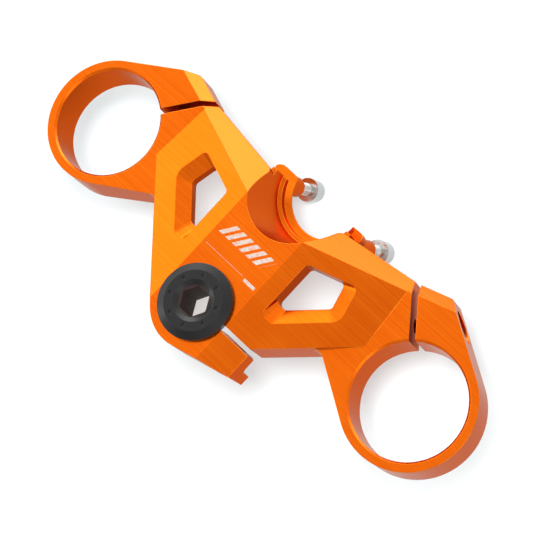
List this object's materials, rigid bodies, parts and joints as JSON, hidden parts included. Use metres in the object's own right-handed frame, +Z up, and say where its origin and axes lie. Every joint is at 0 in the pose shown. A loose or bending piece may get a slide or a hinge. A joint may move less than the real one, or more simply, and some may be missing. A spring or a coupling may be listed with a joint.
{
  "type": "motorcycle triple clamp",
  "caption": "Upper fork clamp of a motorcycle: gull-winged machined plate with split fork rings, split stem clamp, dished windows and a tilted seat for the steering lock.",
  "frame": {"origin": "on the steering axis, in the plane of the stem clamp's lower seat face", "axes": "+X to the rider's right along the fork spacing, +Y to the front, +Z up the steering axis"},
  "size_m": [0.27, 0.1054, 0.0764],
  "materials": {
    "anodised_orange": "orange anodised, satin, with fine milling lines",
    "anodised_black": "black anodised, satin",
    "zinc": "bright zinc plated"
  },
  "bodies": {
    "root": {"clamp_body": "anodised_orange", "stem_nut": "anodised_black", "lock_screw_left": "zinc", "lock_screw_right": "zinc"}
  },
  "joints": []
}
